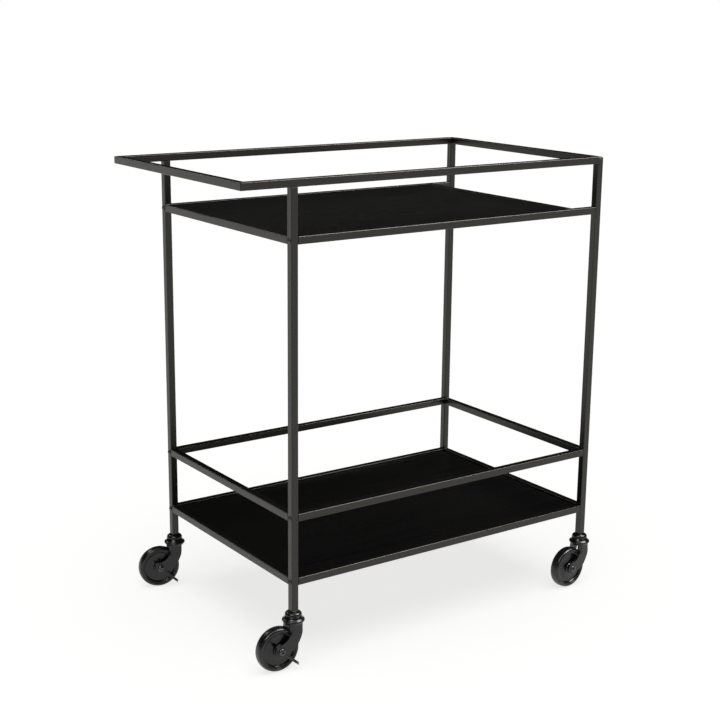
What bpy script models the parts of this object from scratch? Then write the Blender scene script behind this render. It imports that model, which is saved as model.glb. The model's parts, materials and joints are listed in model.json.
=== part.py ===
"""Bar cart on wheels: a square-tube frame with two shelves, a guard rail and four swivel casters.

Metres, +Z up. The floor is z = 0. X runs along the cart: the handle is at -X, the right end at +X.
The origin is on the floor, under the middle of the cart's box.
"""
import math

import bmesh
import bpy
from mathutils import Matrix

for old in list(bpy.data.objects):
    bpy.data.objects.remove(old, do_unlink=True)

# ---- driving dimensions -------------------------------------------------------------------------
POST_LENGTH = 0.616          # outside of the left posts to outside of the right posts
POST_WIDTH = 0.406           # outside of the front posts to outside of the back posts
HANDLE_REACH = 0.084         # how far the handle bar stands out past the left posts
TOP = 0.762                  # top of the top loop
UPPER_TOP = 0.678            # top of the upper shelf's rails
GUARD_TOP = 0.251            # top of the guard rails
LOWER_TOP = 0.147            # top of the lower shelf's rails
POST_FOOT = 0.094            # lower end of the posts

TUBE = 0.012                 # outside of the square tube
WALL = 0.0012
ARRIS = 0.0012               # radius of the tube's outer edges
GAP = 0.0003                 # clearance between neighbours
UPPER_RIGHT_INSET = 0.055    # outside of the right posts to outside of the upper shelf's right rail

PANEL_THICK = 0.008
UPPER_RECESS = 0.0004        # panel face below the rail tops
LOWER_RECESS = 0.0035
PANEL_EDGE = 0.0005

WHEEL_RADIUS = 0.036
WHEEL_HALF = 0.0088
TREAD = 0.0062               # thickness of the tyre
CASTER_TRAIL = 0.0295        # swivel axis to axle
CROWN_RADIUS = 0.018
ARM_INNER = 0.0120           # from the wheel's middle plane
ARM_OUTER = 0.0140
AXLE_RADIUS = 0.003
LEVER_THICK = 0.0012

# ---- places worked out from them ----------------------------------------------------------------
HALF_TUBE = TUBE / 2
BOX_LENGTH = HANDLE_REACH + POST_LENGTH + CROWN_RADIUS - HALF_TUBE
HANDLE_X = -BOX_LENGTH / 2 + HALF_TUBE
LEFT_X = HANDLE_X + HANDLE_REACH
RIGHT_X = LEFT_X + POST_LENGTH - TUBE
SIDE_Y = POST_WIDTH / 2 - HALF_TUBE
UPPER_RIGHT_X = RIGHT_X - UPPER_RIGHT_INSET
INNER_Y = SIDE_Y - HALF_TUBE
BORE = TUBE - 2 * WALL
RAIL_TOPS = {"lower": LOWER_TOP, "guard": GUARD_TOP, "upper": UPPER_TOP}

SIDES = {"front": -1, "back": 1}
ENDS = {"left": LEFT_X, "right": RIGHT_X}
SWIVEL_DEGREES = {
    "front_left": -1.0,
    "back_left": -13.0,
    "front_right": 5.0,
    "back_right": -7.0,
}
BRAKED = ("front_left", "back_left")


# ---- materials ----------------------------------------------------------------------------------
def material(name, colour, roughness, metallic=0.0):
    """A Principled material of one colour."""
    made = bpy.data.materials.new(name)
    made.use_nodes = True
    shader = made.node_tree.nodes["Principled BSDF"]
    shader.inputs["Base Color"].default_value = (*colour, 1.0)
    shader.inputs["Roughness"].default_value = roughness
    shader.inputs["Metallic"].default_value = metallic
    return made


FRAME_PAINT = material("frame_paint", (0.022, 0.022, 0.021), 0.42)
SHELF_WOOD = material("shelf_wood", (0.014, 0.013, 0.012), 0.45)
BOLT_STEEL = material("bolt_steel", (0.030, 0.030, 0.030), 0.35, 0.6)
PLUG_PLASTIC = material("plug_plastic", (0.016, 0.016, 0.016), 0.50)
CASTER_STEEL = material("caster_steel", (0.030, 0.030, 0.030), 0.25, 0.5)
WHEEL_PLASTIC = material("wheel_plastic", (0.020, 0.020, 0.020), 0.30)
TYRE_RUBBER = material("tyre_rubber", (0.018, 0.018, 0.018), 0.35)


# ---- building blocks ----------------------------------------------------------------------------
def mesh_from(bm, name, smooth_degrees=None):
    """Closes a bmesh into a mesh with its faces pointing out."""
    bmesh.ops.recalc_face_normals(bm, faces=bm.faces)
    mesh = bpy.data.meshes.new(name)
    bm.to_mesh(mesh)
    bm.free()
    if smooth_degrees is not None:
        mesh.shade_smooth()
        mesh.set_sharp_from_angle(angle=math.radians(smooth_degrees))
    return mesh


def place(name, mesh, paint=None, parent=None, at=(0.0, 0.0, 0.0)):
    """Adds one named object, with its own copy of the mesh's material slot."""
    obj = bpy.data.objects.new(name, mesh)
    bpy.context.scene.collection.objects.link(obj)
    obj.parent = parent
    obj.location = at
    if paint is not None and not mesh.materials:
        mesh.materials.append(paint)
    return obj


def cutter(name, mesh):
    """Adds a tool for a Boolean, which isn't part of the cart."""
    tool = place(name, mesh)
    tool.hide_render = True
    tool.display_type = "WIRE"
    return tool


def combine(obj, tool, operation):
    """Puts an exact Boolean on an object."""
    step = obj.modifiers.new(operation.lower(), "BOOLEAN")
    step.operation = operation
    step.object = tool
    step.solver = "EXACT"


def baked(name, mesh, steps, smooth_degrees=30.0):
    """The mesh that a list of (operation, tool mesh) leaves of a starting mesh."""
    work = place(name + "_work", mesh)
    tools = []
    for number, (operation, tool_mesh) in enumerate(steps):
        tools.append(cutter("%s_tool_%d" % (name, number), tool_mesh))
        combine(work, tools[-1], operation)
    bpy.context.view_layer.update()
    graph = bpy.context.evaluated_depsgraph_get()
    result = bpy.data.meshes.new_from_object(work.evaluated_get(graph))
    for helper in [work] + tools:
        bpy.data.objects.remove(helper, do_unlink=True)
    result.name = name
    result.shade_smooth()
    result.set_sharp_from_angle(angle=math.radians(smooth_degrees))
    return result


def rounded_square(size, radius, steps=2):
    """Corner points of a square with round corners, anticlockwise."""
    points = []
    for quarter in range(4):
        turn = quarter * math.pi / 2
        middle = size / 2 - radius
        corner_x = middle * (math.cos(turn) - math.sin(turn))
        corner_y = middle * (math.sin(turn) + math.cos(turn))
        for step in range(steps + 1):
            angle = turn + step / steps * math.pi / 2
            points.append((corner_x + radius * math.cos(angle), corner_y + radius * math.sin(angle)))
    return points


def loft(rings, closed=True):
    """A bmesh skin over rings of 3-D points; closed joins the last ring to the first."""
    bm = bmesh.new()
    rows = [[bm.verts.new(point) for point in ring] for ring in rings]
    pairs = list(zip(rows, rows[1:]))
    if closed:
        pairs.append((rows[-1], rows[0]))
    for row, following in pairs:
        for index in range(len(row)):
            after = (index + 1) % len(row)
            bm.faces.new((row[index], row[after], following[after], following[index]))
    if not closed:
        bm.faces.new(rows[0])
        bm.faces.new(rows[-1])
    return bm


def tube(name, axis, across, span, slopes=(0.0, 0.0)):
    """A square tube, open at both ends, along axis 0, 1 or 2.

    across is its centre line in the other two axes, and span its two ends on that line. Each end moves
    along the tube by its slope for every metre across it, which makes the mitres.
    """
    first, second = [other for other in range(3) if other != axis]
    outside = rounded_square(TUBE, ARRIS)
    inside = rounded_square(BORE, ARRIS / 4)
    rings = []
    for section, end in ((outside, 0), (outside, 1), (inside, 1), (inside, 0)):
        ring = []
        for along_first, along_second in section:
            point = [0.0, 0.0, 0.0]
            point[first] = across[0] + along_first
            point[second] = across[1] + along_second
            point[axis] = span[end] + slopes[end] * along_first
            ring.append(point)
        rings.append(ring)
    return place(name, mesh_from(loft(rings), name, 40.0), FRAME_PAINT)


def turned(profile, segments, axis="Z"):
    """A bmesh turned about Z or Y from (radius, height) points; points on the axis close it."""
    bm = bmesh.new()
    verts = [bm.verts.new((radius, 0.0, height)) for radius, height in profile]
    edges = [bm.edges.new(pair) for pair in zip(verts, verts[1:])]
    if profile[0][0] > 0:
        edges.append(bm.edges.new((verts[-1], verts[0])))
    bmesh.ops.spin(bm, geom=verts + edges, axis=(0, 0, 1), cent=(0, 0, 0), angle=math.tau,
                   steps=segments, use_merge=True)
    bmesh.ops.remove_doubles(bm, verts=bm.verts, dist=1e-6)
    if axis == "Y":
        bmesh.ops.rotate(bm, verts=bm.verts, matrix=Matrix.Rotation(-math.pi / 2, 3, "X"))
    return bm


def rod(radius, length, segments, axis, middle=(0.0, 0.0, 0.0)):
    """A round rod about Z, Y or X, centred on a point."""
    bm = turned([(0, -length / 2), (radius, -length / 2), (radius, length / 2), (0, length / 2)],
                segments)
    if axis != "Z":
        turn = Matrix.Rotation(math.pi / 2, 3, "X" if axis == "Y" else "Y")
        bmesh.ops.rotate(bm, verts=bm.verts, matrix=turn)
    bmesh.ops.translate(bm, verts=bm.verts, vec=middle)
    return bm


def plate(outline, low_y, high_y):
    """A bmesh plate that stands in the XZ plane, between two values of y."""
    near = [(x, low_y, z) for x, z in outline]
    far = [(x, high_y, z) for x, z in outline]
    return loft([near, far], closed=False)


def arc(middle, radius, start, end, steps):
    """Points on an arc in the XZ plane, in degrees."""
    points = []
    for step in range(steps + 1):
        angle = math.radians(start + (end - start) * step / steps)
        points.append((middle[0] + radius * math.cos(angle), middle[1] + radius * math.sin(angle)))
    return points


def joined(meshes, name):
    """Several closed shapes in one mesh, for use as a Boolean's tool."""
    bm = bmesh.new()
    for mesh in meshes:
        bm.from_mesh(mesh)
        bpy.data.meshes.remove(mesh)
    return mesh_from(bm, name)


# ---- frame --------------------------------------------------------------------------------------
BOLT_HEAD_RADIUS = 0.0038
BOLT_HEAD_HIGH = 0.0023
BOLT_SHANK_RADIUS = 0.002
BOLT_REACH = 0.026           # from under the head
PLUG_HEAD = 0.003            # thickness of the plugs' heads on the right posts
PLUG_DEPTH = 0.014


def bolt_heights():
    """Middle heights of the rails that the bolts hold."""
    return {level: top - HALF_TUBE for level, top in RAIL_TOPS.items()}


def build_posts():
    """Four posts; the bolts' bores go through both walls along X."""
    for end, x in ENDS.items():
        for side, sign in SIDES.items():
            top = TOP - TUBE - GAP if end == "left" else TOP - PLUG_HEAD - GAP
            post = tube("post_%s_%s" % (side, end), 2, (x, sign * SIDE_Y), (POST_FOOT, top))
            bores = []
            for height in bolt_heights().values():
                bore = rod(BOLT_SHANK_RADIUS + GAP, 2 * TUBE, 10, "X", (x, sign * SIDE_Y, height))
                bores.append(mesh_from(bore, "bore"))
            combine(post, cutter("bores_%s_%s" % (side, end), joined(bores, "bores")), "DIFFERENCE")


def build_bolts():
    """Button-head screws, end-on through the posts into the long rails."""
    edge = 0.4 * BOLT_HEAD_HIGH
    profile = [
        (0.0, -BOLT_REACH),
        (BOLT_SHANK_RADIUS, -BOLT_REACH),
        (BOLT_SHANK_RADIUS, GAP),
        (BOLT_HEAD_RADIUS, GAP),
        (BOLT_HEAD_RADIUS, GAP + edge),
        (0.72 * BOLT_HEAD_RADIUS, 0.85 * BOLT_HEAD_HIGH),
        (0.4 * BOLT_HEAD_RADIUS, BOLT_HEAD_HIGH),
        (0.0, BOLT_HEAD_HIGH),
    ]
    for end, x in ENDS.items():
        outward = -1 if end == "left" else 1
        bm = turned(profile, 10)
        bmesh.ops.rotate(bm, verts=bm.verts, matrix=Matrix.Rotation(outward * math.pi / 2, 3, "Y"))
        mesh = mesh_from(bm, "bolt_" + end, 35.0)
        for side, sign in SIDES.items():
            for level, height in bolt_heights().items():
                at = (x + outward * HALF_TUBE, sign * SIDE_Y, height)
                place("bolt_%s_%s_%s" % (level, side, end), mesh, BOLT_STEEL, at=at)


def build_post_plugs():
    """Rounded plugs in the open tops of the right posts."""
    head = rounded_square(TUBE, ARRIS)
    soft = PLUG_HEAD * 0.8
    levels = [(TOP - PLUG_HEAD - PLUG_DEPTH, BORE - 2 * GAP), (TOP - PLUG_HEAD, BORE - 2 * GAP),
              (TOP - PLUG_HEAD, TUBE)]
    for step in range(4):
        angle = step / 3 * math.pi / 2
        levels.append((TOP - soft + soft * math.sin(angle), TUBE - 2 * soft * (1 - math.cos(angle))))
    rings = []
    for z, size in levels:
        scale = size / TUBE
        rings.append([(x * scale, y * scale, z) for x, y in head])
    mesh = mesh_from(loft(rings, closed=False), "post_plug", 40.0)
    for side, sign in SIDES.items():
        place("post_plug_%s_right" % side, mesh, PLUG_PLASTIC, at=(RIGHT_X, sign * SIDE_Y, 0.0))


def build_long_rails():
    """Rails along X between the left and the right posts, front and back, at three heights."""
    span = (LEFT_X + HALF_TUBE + GAP, RIGHT_X - HALF_TUBE - GAP)
    for level, top in RAIL_TOPS.items():
        for side, sign in SIDES.items():
            tube("%s_rail_%s" % (level, side), 0, (sign * SIDE_Y, top - HALF_TUBE), span)


def build_cross_rails():
    """Rails along Y between the posts; the upper shelf's right one stands in from the posts."""
    span = (-INNER_Y + GAP, INNER_Y - GAP)
    for level, top in RAIL_TOPS.items():
        tube(level + "_rail_left", 1, (LEFT_X, top - HALF_TUBE), span)
        right = UPPER_RIGHT_X if level == "upper" else RIGHT_X
        tube(level + "_rail_right", 1, (right, top - HALF_TUBE), span)


def build_top_loop():
    """The long top rails lie on the left posts and meet the handle bar in mitres."""
    height = TOP - HALF_TUBE
    mitre_gap = GAP / math.sqrt(2)
    for side, sign in SIDES.items():
        span = (HANDLE_X + mitre_gap, RIGHT_X - HALF_TUBE - GAP)
        tube("top_rail_" + side, 0, (sign * SIDE_Y, height), span, (-sign, 0.0))
    tube("handle_bar", 1, (HANDLE_X, height), (-SIDE_Y + mitre_gap, SIDE_Y - mitre_gap), (1.0, -1.0))
    tube("top_rail_right", 1, (RIGHT_X, height), (-INNER_Y + GAP, INNER_Y - GAP))


def build_panel(name, low_x, high_x, top):
    """A board between the inner faces of its rails, with softened long edges."""
    bm = bmesh.new()
    bmesh.ops.create_cube(bm, size=1.0)
    size = (high_x - low_x - 2 * GAP, 2 * (INNER_Y - GAP), PANEL_THICK)
    bmesh.ops.scale(bm, vec=size, verts=bm.verts)
    middle = ((low_x + high_x) / 2, 0.0, top - PANEL_THICK / 2)
    panel = place(name, mesh_from(bm, name), SHELF_WOOD, at=middle)
    edge = panel.modifiers.new("edge", "BEVEL")
    edge.width = PANEL_EDGE
    edge.segments = 1


def build_panels():
    """The lower board is recessed, the upper one is flush with its rails."""
    low_x = LEFT_X + HALF_TUBE
    build_panel("lower_panel", low_x, RIGHT_X - HALF_TUBE, LOWER_TOP - LOWER_RECESS)
    build_panel("upper_panel", low_x, UPPER_RIGHT_X - HALF_TUBE, UPPER_TOP - UPPER_RECESS)


# ---- casters ------------------------------------------------------------------------------------
CROWN_TOP = 0.0855
CROWN_FOOT = 0.0740
PIN_RADIUS = 0.004
TYRE_CLEARANCE = 0.0012
AXLE_HEAD_RADIUS = 0.0056
AXLE_HEAD_HIGH = 0.0028
LEVER_PEDAL = (0.0385, -42.0)    # reach and angle from the axle
LEVER_HORN = (0.0115, 128.0)
LEVER_EYE_RADIUS = 0.0070
PEDAL_RADIUS = 0.0024
HORN_RADIUS = 0.0030
PEDAL_TAB = (0.0085, 0.0050, 0.0012)    # along the lever, outward, thick


def stem_mesh():
    """Square plug for the post's bore, dust cap, swivel pin and rivet head, in one piece."""
    cap_radius = 0.0134
    cap_foot = CROWN_TOP + GAP
    head_top = CROWN_FOOT - GAP
    profile = [
        (0.0, head_top - 0.0019),
        (0.0056, head_top - 0.0019),
        (0.0065, head_top - 0.0010),
        (0.0065, head_top),
        (PIN_RADIUS, head_top),
        (PIN_RADIUS, cap_foot),
        (cap_radius - 0.0004, cap_foot),
        (cap_radius, cap_foot + 0.0013),
        (cap_radius - 0.0006, cap_foot + 0.0037),
        (cap_radius - 0.0028, cap_foot + 0.0057),
        (cap_radius - 0.0060, cap_foot + 0.0068),
        (0.0, cap_foot + 0.0072),
    ]
    collar = POST_FOOT - GAP
    levels = [(collar - 0.0035, 0.0092), (collar - 0.0012, TUBE), (collar, TUBE),
              (collar, BORE - 2 * GAP), (collar + 0.022, BORE - 2 * GAP), (collar + 0.024, 0.007)]
    section = rounded_square(1.0, ARRIS / TUBE, 1)
    rings = [[(x * size, y * size, z) for x, y in section] for z, size in levels]
    plug = mesh_from(loft(rings, closed=False), "plug")
    return baked("caster_stem", mesh_from(turned(profile, 16), "stem"), [("UNION", plug)])


def arm_outline():
    """Side view of a fork arm: straight neck, swept back to a round end on the axle."""
    axle = (-CASTER_TRAIL, WHEEL_RADIUS)
    neck_top = CROWN_FOOT + 0.003
    front = [(0.0094, neck_top), (0.0088, 0.0620), (0.0060, 0.0520), (0.0002, 0.0415), (-0.0066, 0.0330)]
    end = arc(axle, 0.0104, -48.0, -250.0, 9)
    back = [(-0.0225, 0.0487), (-0.0162, 0.0532), (-0.0132, 0.0600), (-0.0124, 0.0690),
            (-0.0124, neck_top)]
    return front + end + back


def fork_mesh():
    """Beaded crown with two arms; the wheel's arch and the axle's bore are cut through it."""
    profile = [
        (PIN_RADIUS + GAP, CROWN_FOOT),
        (0.0152, CROWN_FOOT),
        (0.0160, CROWN_FOOT + 0.0017),
        (0.0176, CROWN_FOOT + 0.0027),
        (CROWN_RADIUS, CROWN_FOOT + 0.0043),
        (0.0176, CROWN_FOOT + 0.0059),
        (0.0158, CROWN_FOOT + 0.0074),
        (0.0138, CROWN_FOOT + 0.0094),
        (0.0128, CROWN_TOP),
        (PIN_RADIUS + GAP, CROWN_TOP),
    ]
    arms = []
    for sign in (-1, 1):
        arms.append(mesh_from(plate(arm_outline(), sign * ARM_INNER, sign * ARM_OUTER), "arm"))
    axle = (-CASTER_TRAIL, 0.0, WHEEL_RADIUS)
    arch = mesh_from(rod(WHEEL_RADIUS + TYRE_CLEARANCE, 2 * WHEEL_HALF + 0.002, 28, "Y", axle), "arch")
    bore = mesh_from(rod(AXLE_RADIUS + GAP, 4 * ARM_OUTER, 12, "Y", axle), "bore")
    steps = [("UNION", joined(arms, "arms")), ("DIFFERENCE", arch), ("DIFFERENCE", bore)]
    return baked("caster_fork", mesh_from(turned(profile, 20), "crown"), steps)


def mirrored(half):
    """A profile's points followed by the same points mirrored in height."""
    return half + [(radius, -height) for radius, height in reversed(half)]


def wheel_mesh():
    """Hub, recessed disc and rim."""
    rim = WHEEL_RADIUS - TREAD - GAP
    hub_face = WHEEL_HALF - 0.0004
    disc_face = WHEEL_HALF - 0.0032
    half = [
        (AXLE_RADIUS + GAP, -hub_face),
        (0.0078, -hub_face),
        (0.0086, -hub_face + 0.0009),
        (0.0090, -disc_face),
        (rim - 0.0040, -disc_face),
        (rim - 0.0024, -disc_face - 0.0014),
        (rim, -disc_face - 0.0020),
    ]
    return mesh_from(turned(mirrored(half), 22, "Y"), "caster_wheel", 30.0)


def tyre_mesh():
    """Tread with round shoulders."""
    half = [
        (WHEEL_RADIUS - TREAD, -WHEEL_HALF + 0.0014),
        (WHEEL_RADIUS - TREAD + 0.0014, -WHEEL_HALF),
        (WHEEL_RADIUS - 0.0038, -WHEEL_HALF + 0.0004),
        (WHEEL_RADIUS - 0.0014, -WHEEL_HALF + 0.0022),
        (WHEEL_RADIUS - 0.0004, -WHEEL_HALF + 0.0046),
        (WHEEL_RADIUS, -WHEEL_HALF + 0.0070),
    ]
    return mesh_from(turned(mirrored(half), 32, "Y"), "caster_tyre", 50.0)


def axle_mesh(lever):
    """Axle bolt with two domed heads; a lever under the near head moves that head out."""
    near = ARM_OUTER + GAP + (LEVER_THICK + GAP if lever else 0.0)
    far = ARM_OUTER + GAP
    shoulder = 0.5 * AXLE_HEAD_HIGH
    crown = 0.7 * AXLE_HEAD_RADIUS
    near_top = near + AXLE_HEAD_HIGH
    far_top = far + AXLE_HEAD_HIGH
    profile = [
        (0.0, -near_top),
        (crown, -near_top),
        (AXLE_HEAD_RADIUS, -near - shoulder),
        (AXLE_HEAD_RADIUS, -near),
        (AXLE_RADIUS, -near),
        (AXLE_RADIUS, far),
        (AXLE_HEAD_RADIUS, far),
        (AXLE_HEAD_RADIUS, far + shoulder),
        (crown, far_top),
        (0.0, far_top),
    ]
    return mesh_from(turned(profile, 12, "Y"), "caster_axle", 35.0)


def lever_mesh():
    """Stamped brake lever: a plate round the axle, with a pedal tab bent out at its tip."""
    far_y = -ARM_OUTER - GAP
    near_y = far_y - LEVER_THICK
    lobes = [((0.0, 0.0), LEVER_EYE_RADIUS)]
    for (reach, angle), radius in ((LEVER_PEDAL, PEDAL_RADIUS), (LEVER_HORN, HORN_RADIUS)):
        turn = math.radians(angle)
        lobes.append(((reach * math.cos(turn), reach * math.sin(turn)), radius))
    bm = bmesh.new()
    for middle, radius in lobes:
        for x, z in arc(middle, radius, 0.0, 345.0, 23):
            bm.verts.new((x, near_y, z))
            bm.verts.new((x, far_y, z))
    hull = bmesh.ops.convex_hull(bm, input=bm.verts)
    spare = [item for item in hull["geom_interior"] if isinstance(item, bmesh.types.BMVert)]
    bmesh.ops.delete(bm, geom=spare, context="VERTS")
    bmesh.ops.dissolve_limit(bm, angle_limit=math.radians(1.0), verts=bm.verts, edges=bm.edges)
    body = mesh_from(bm, "lever")
    tab_bm = bmesh.new()
    bmesh.ops.create_cube(tab_bm, size=1.0)
    bmesh.ops.scale(tab_bm, vec=PEDAL_TAB, verts=tab_bm.verts)
    reach, angle = LEVER_PEDAL
    tab_at = (reach - 0.0020, far_y - 0.0003 - PEDAL_TAB[1] / 2, -PEDAL_RADIUS - 0.0002)
    bmesh.ops.translate(tab_bm, vec=tab_at, verts=tab_bm.verts)
    turn = Matrix.Rotation(-math.radians(angle), 3, "Y")
    bmesh.ops.rotate(tab_bm, verts=tab_bm.verts, matrix=turn)
    tab = mesh_from(tab_bm, "tab")
    bore = mesh_from(rod(AXLE_RADIUS + GAP, 4 * ARM_OUTER, 12, "Y"), "bore")
    return baked("brake_lever", body, [("UNION", tab), ("DIFFERENCE", bore)])


def build_casters():
    """Four casters, each turned about its post by its own angle."""
    stem = stem_mesh()
    fork = fork_mesh()
    wheel = wheel_mesh()
    tyre = tyre_mesh()
    plain_axle = axle_mesh(lever=False)
    braked_axle = axle_mesh(lever=True)
    lever = lever_mesh()
    for end, x in ENDS.items():
        for side, sign in SIDES.items():
            corner = "%s_%s" % (side, end)
            swivel = place("swivel_axis_" + corner, None, at=(x, sign * SIDE_Y, 0.0))
            swivel.rotation_euler.z = math.radians(SWIVEL_DEGREES[corner])
            axle_at = (-CASTER_TRAIL, 0.0, WHEEL_RADIUS)
            spin = place("spin_axis_" + corner, None, parent=swivel, at=axle_at)
            place("caster_stem_" + corner, stem, CASTER_STEEL, at=(x, sign * SIDE_Y, 0.0))
            place("caster_fork_" + corner, fork, CASTER_STEEL, swivel)
            place("caster_wheel_" + corner, wheel, WHEEL_PLASTIC, spin)
            place("caster_tyre_" + corner, tyre, TYRE_RUBBER, spin)
            braked = corner in BRAKED
            place("caster_axle_" + corner, braked_axle if braked else plain_axle, CASTER_STEEL, spin)
            if braked:
                place("brake_lever_" + corner, lever, CASTER_STEEL, spin)


build_posts()
build_bolts()
build_post_plugs()
build_long_rails()
build_cross_rails()
build_top_loop()
build_panels()
build_casters()
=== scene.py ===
"""Bar cart on wheels: the fine surfaces, materials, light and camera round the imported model."""

import json
import math

import bmesh
import bpy
from mathutils import Matrix, Vector


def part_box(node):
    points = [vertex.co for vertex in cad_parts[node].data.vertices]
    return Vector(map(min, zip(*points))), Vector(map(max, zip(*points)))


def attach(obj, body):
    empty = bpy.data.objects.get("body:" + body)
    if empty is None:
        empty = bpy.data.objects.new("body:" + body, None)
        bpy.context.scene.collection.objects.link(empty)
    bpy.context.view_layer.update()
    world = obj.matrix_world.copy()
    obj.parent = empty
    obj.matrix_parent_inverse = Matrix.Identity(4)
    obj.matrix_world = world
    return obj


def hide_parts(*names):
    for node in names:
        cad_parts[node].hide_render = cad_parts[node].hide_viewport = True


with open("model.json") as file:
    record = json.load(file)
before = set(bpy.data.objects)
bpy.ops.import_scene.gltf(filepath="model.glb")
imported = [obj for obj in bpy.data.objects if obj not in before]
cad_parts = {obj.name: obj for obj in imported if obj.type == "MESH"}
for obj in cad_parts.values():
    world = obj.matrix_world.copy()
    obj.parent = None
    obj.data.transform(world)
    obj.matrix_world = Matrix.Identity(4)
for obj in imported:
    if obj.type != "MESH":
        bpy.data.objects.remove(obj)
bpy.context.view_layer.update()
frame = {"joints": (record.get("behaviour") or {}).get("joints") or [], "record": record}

BODIES = frame["record"]["behaviour"]["bodies"]
BODY_OF = {node: body for body, nodes in BODIES.items() for node in nodes}
JOINTS = {joint["name"]: joint for joint in frame["joints"]}
CORNERS = ("front_left", "back_left", "front_right", "back_right")
LEVELS = ("lower", "guard", "upper")
MM = 0.001

# ---- sizes of the fine surfaces, in metres ------------------------------------------------------
ARRIS = 1.3 * MM                 # outer edge radius of the square tube
WALL = 1.2 * MM
END_BREAK = 0.18 * MM            # broken edge at a tube's cut end
WELD = 1.1 * MM                  # leg of a fillet weld
WELD_RIPPLE = 1.3 * MM           # from one ripple of a weld to the next
WELD_STEP = 0.25 * MM            # from one ring of a weld's mesh to the next
WELD_SINK = 0.15 * MM            # how far a weld's root lies inside the corner it fills
PANEL_EDGE = 0.7 * MM            # eased edge of a board
TAB_SHARES = (0.14, 0.86)        # where the shelf tabs sit along a board
SHELF_SCREW_RADIUS = 3.2 * MM
BUTTON_HEAD = (3.8 * MM, 2.2 * MM, 1.4 * MM)     # radius, height, radius of the socket
AXLE_HEAD = (5.6 * MM, 2.8 * MM, 2.0 * MM)


# ---- mesh helpers -------------------------------------------------------------------------------
def mesh_from(bm, name, sharp_degrees=35.0):
    """A smooth-shaded mesh with its faces pointing out, from a bmesh."""
    bmesh.ops.recalc_face_normals(bm, faces=bm.faces)
    mesh = bpy.data.meshes.new(name)
    bm.to_mesh(mesh)
    bm.free()
    mesh.shade_smooth()
    mesh.set_sharp_from_angle(angle=math.radians(sharp_degrees))
    return mesh


def add_piece(name, mesh, material, body, matrix=None, nodes=()):
    """Shows a mesh as a piece that rides on a body and stands for CAD nodes."""
    piece = bpy.data.objects.new(name, mesh)
    bpy.context.scene.collection.objects.link(piece)
    if matrix is not None:
        piece.matrix_world = matrix
    if not mesh.materials:
        mesh.materials.append(material)
    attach(piece, body)
    if nodes:
        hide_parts(*nodes)
    return piece


def soften(piece, width, segments=2, degrees=30.0):
    """Rounds a piece's edges and keeps its flat faces flat."""
    edge = piece.modifiers.new("edge", "BEVEL")
    edge.width = width
    edge.segments = segments
    edge.limit_method = "ANGLE"
    edge.angle_limit = math.radians(degrees)
    flatten(piece)
    return piece


def flatten(piece):
    """Weights the normals, so that flat faces shade flat beside small round edges."""
    normals = piece.modifiers.new("normals", "WEIGHTED_NORMAL")
    normals.keep_sharp = True
    return piece


def rounded_square(size, radius, steps=4):
    """Corner points of a square with round corners, anticlockwise."""
    points = []
    for quarter in range(4):
        turn = quarter * math.pi / 2
        middle = size / 2 - radius
        corner_x = middle * (math.cos(turn) - math.sin(turn))
        corner_y = middle * (math.sin(turn) + math.cos(turn))
        for step in range(steps + 1):
            angle = turn + step / steps * math.pi / 2
            points.append((corner_x + radius * math.cos(angle),
                           corner_y + radius * math.sin(angle)))
    return points


def add_loft(bm, rings, closed):
    """Adds a skin over rings of points; closed joins the last ring to the first."""
    rows = [[bm.verts.new(point) for point in ring] for ring in rings]
    pairs = list(zip(rows, rows[1:]))
    if closed:
        pairs.append((rows[-1], rows[0]))
    for row, following in pairs:
        for index in range(len(row)):
            after = (index + 1) % len(row)
            bm.faces.new((row[index], row[after], following[after], following[index]))
    if not closed:
        bm.faces.new(rows[0])
        bm.faces.new(rows[-1])


def loft(rings, closed=False):
    """A new bmesh with one loft in it."""
    bm = bmesh.new()
    add_loft(bm, rings, closed)
    return bm


def turned_rings(profile, segments, hexagon=()):
    """Rings round Z for (radius, height) points; the rings numbered in hexagon are six-sided."""
    rings = []
    for number, (radius, height) in enumerate(profile):
        ring = []
        for segment in range(segments):
            angle = segment / segments * math.tau
            reach = radius
            if number in hexagon:
                reach = radius / math.cos((angle + math.pi / 6) % (math.pi / 3) - math.pi / 6)
            ring.append((reach * math.cos(angle), reach * math.sin(angle), height))
        rings.append(ring)
    return rings


def turn_to_y(bm):
    """Lays a shape that was turned about Z along Y, with its foot at the -Y end."""
    bmesh.ops.rotate(bm, verts=bm.verts, matrix=Matrix.Rotation(-math.pi / 2, 3, "X"))
    return bm


def smooth_line(points, steps=6):
    """A Catmull-Rom line through 2-D points."""
    ends = [points[0]] + list(points) + [points[-1]]
    line = []
    for a, b, c, d in zip(ends, ends[1:], ends[2:], ends[3:]):
        for step in range(steps):
            t = step / steps
            line.append(tuple(
                0.5 * (2 * q + (r - p) * t + (2 * p - 5 * q + 4 * r - s) * t * t
                       + (3 * q - p - 3 * r + s) * t ** 3)
                for p, q, r, s in zip(a, b, c, d)))
    line.append(tuple(points[-1]))
    return line


def arc(middle, radius, start, end, steps):
    """2-D points on an arc, in degrees."""
    points = []
    for step in range(steps + 1):
        angle = math.radians(start + (end - start) * step / steps)
        points.append((middle[0] + radius * math.cos(angle), middle[1] + radius * math.sin(angle)))
    return points


# ---- materials ----------------------------------------------------------------------------------
MIX_DARK, MIX_LIGHT, MIX_RESULT = 6, 7, 2        # a Mix node's colour sockets, by number


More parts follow.
